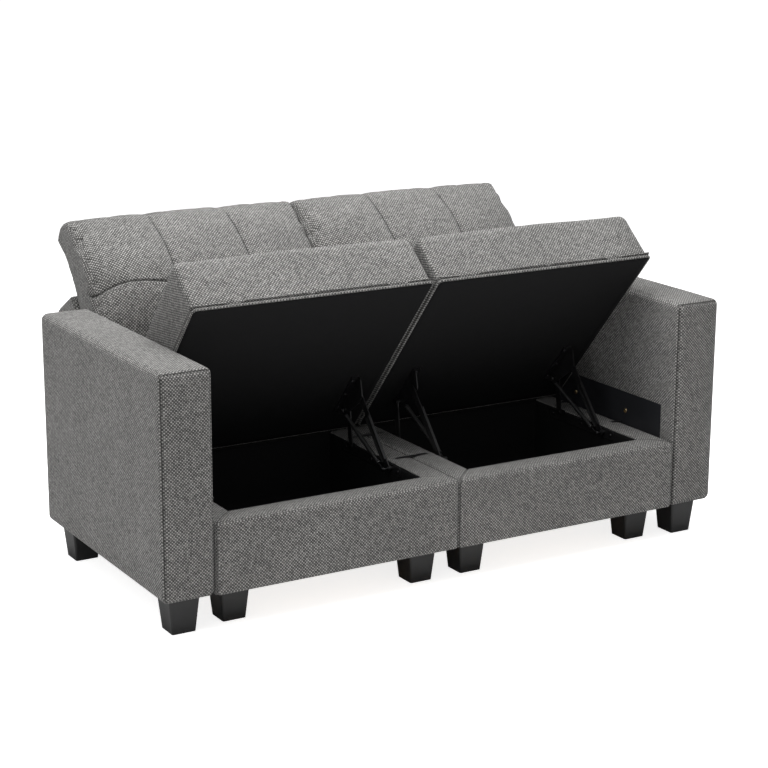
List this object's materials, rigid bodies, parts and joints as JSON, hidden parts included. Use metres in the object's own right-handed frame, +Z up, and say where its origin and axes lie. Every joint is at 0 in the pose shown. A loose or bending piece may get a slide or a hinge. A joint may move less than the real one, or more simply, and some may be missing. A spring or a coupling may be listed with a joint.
{
  "type": "two-seat storage sofa with lift-up seats",
  "caption": "Gray woven storage sofa with lift-up seats on spring-assisted lifts, tufted back cushions, boxed arms and black block legs.",
  "frame": {"origin": "On the floor, under the middle of the whole sofa's bounding box.", "axes": "+X along the sofa to the right hand of a person looking at its front, +Y from its front to its back, +Z up."},
  "size_m": [1.68, 1.0042, 0.8914],
  "materials": {
    "upholstery": "coarse basket weave, matte",
    "black_cloth": "plain non-woven lining, matte",
    "timber": "sawn softwood and plywood, unfinished",
    "black_plastic": "moulded, fine grain",
    "black_panel": "smooth black board face",
    "black_steel": "satin black coat",
    "bright_steel": "zinc plated, satin",
    "zinc_brass": "yellow zinc plated, satin"
  },
  "bodies": {
    "base": {"seam_hooks": "black_steel", "back_brackets": "black_steel", "left_arm_hooks": "black_steel", "left_box_cover": "upholstery", "left_box_timber": "timber", "left_bottom_board": "timber", "left_box_lining": "black_cloth", "left_seat_legs": "black_plastic", "left_arm_legs": "black_plastic", "left_arm_cover": "upholstery", "left_arm_timber": "timber", "left_arm_panel": "black_panel", "left_arm_bolts": "zinc_brass", "left_back_cover": "upholstery", "left_back_timber": "timber", "left_back_cushion": "upholstery", "left_lift_rails": "black_steel", "left_rail_screws": "bright_steel", "left_base_pins": "bright_steel", "right_arm_hooks": "black_steel", "right_box_cover": "upholstery", "right_box_timber": "timber", "right_bottom_board": "timber", "right_box_lining": "black_cloth", "right_seat_legs": "black_plastic", "right_arm_legs": "black_plastic", "right_arm_cover": "upholstery", "right_arm_timber": "timber", "right_arm_panel": "black_panel", "right_arm_bolts": "zinc_brass", "right_back_cover": "upholstery", "right_back_timber": "timber", "right_back_cushion": "upholstery", "right_lift_rails": "black_steel", "right_rail_screws": "bright_steel", "right_base_pins": "bright_steel"},
    "left_rear_link": {"left_rear_links": "black_steel"},
    "left_lid": {"left_seat_cushion": "upholstery", "left_lid_board": "timber", "left_lid_undercloth": "black_cloth", "left_lid_welt": "upholstery", "left_lid_brackets": "black_steel", "left_bracket_screws": "bright_steel", "left_lid_pins": "bright_steel"},
    "left_front_link": {"left_front_links": "black_steel", "left_front_link_rivets": "bright_steel"},
    "left_spring": {"left_spring_coils": "black_steel"},
    "left_spring_hook": {"left_spring_hooks": "black_steel"},
    "right_rear_link": {"right_rear_links": "black_steel"},
    "right_lid": {"right_seat_cushion": "upholstery", "right_lid_board": "timber", "right_lid_undercloth": "black_cloth", "right_lid_welt": "upholstery", "right_lid_brackets": "black_steel", "right_bracket_screws": "bright_steel", "right_lid_pins": "bright_steel"},
    "right_front_link": {"right_front_links": "black_steel", "right_front_link_rivets": "bright_steel"},
    "right_spring": {"right_spring_coils": "black_steel"},
    "right_spring_hook": {"right_spring_hooks": "black_steel"}
  },
  "joints": [
    {"name": "left_seat_lift", "type": "hinge", "parent": "base", "child": "left_rear_link", "pos_m": [-0.35, -0.07095, 0.2745], "axis": [1, 0, 0], "range_deg": [-84.92, 0]},
    {"name": "left_lid_tilt", "type": "hinge", "parent": "left_rear_link", "child": "left_lid", "pos_m": [-0.35, -0.05826, 0.37663], "axis": [1, 0, 0], "range_deg": [0, 134.52]},
    {"name": "left_front_link_swing", "type": "hinge", "parent": "base", "child": "left_front_link", "pos_m": [-0.35, -0.27783, 0.266], "axis": [1, 0, 0], "range_deg": [-53.51, 0]},
    {"name": "left_spring_swing", "type": "hinge", "parent": "base", "child": "left_spring", "pos_m": [-0.35, -0.27783, 0.266], "axis": [1, 0, 0], "range_deg": [-25.83, 0]},
    {"name": "left_spring_stretch", "type": "slide", "parent": "left_spring", "child": "left_spring_hook", "axis": [0, 0.893, 0.45], "range_m": [0, 0.06391]},
    {"name": "right_seat_lift", "type": "hinge", "parent": "base", "child": "right_rear_link", "pos_m": [0.35, -0.07095, 0.2745], "axis": [1, 0, 0], "range_deg": [-84.92, 0]},
    {"name": "right_lid_tilt", "type": "hinge", "parent": "right_rear_link", "child": "right_lid", "pos_m": [0.35, -0.05826, 0.37663], "axis": [1, 0, 0], "range_deg": [0, 134.52]},
    {"name": "right_front_link_swing", "type": "hinge", "parent": "base", "child": "right_front_link", "pos_m": [0.35, -0.27783, 0.266], "axis": [1, 0, 0], "range_deg": [-53.51, 0]},
    {"name": "right_spring_swing", "type": "hinge", "parent": "base", "child": "right_spring", "pos_m": [0.35, -0.27783, 0.266], "axis": [1, 0, 0], "range_deg": [-25.83, 0]},
    {"name": "right_spring_stretch", "type": "slide", "parent": "right_spring", "child": "right_spring_hook", "axis": [0, 0.893, 0.45], "range_m": [0, 0.06391]}
  ],
  "couplings": [
    {"joint": "left_lid_tilt", "follows": "left_seat_lift", "ratio": -1.5841},
    {"joint": "left_front_link_swing", "follows": "left_seat_lift", "ratio": 0.63006},
    {"joint": "left_spring_swing", "follows": "left_seat_lift", "ratio": 0.30422},
    {"joint": "left_spring_stretch", "follows": "left_seat_lift", "m_per_rad": -0.043116},
    {"joint": "right_lid_tilt", "follows": "right_seat_lift", "ratio": -1.5841},
    {"joint": "right_front_link_swing", "follows": "right_seat_lift", "ratio": 0.63006},
    {"joint": "right_spring_swing", "follows": "right_seat_lift", "ratio": 0.30422},
    {"joint": "right_spring_stretch", "follows": "right_seat_lift", "m_per_rad": -0.043116}
  ]
}
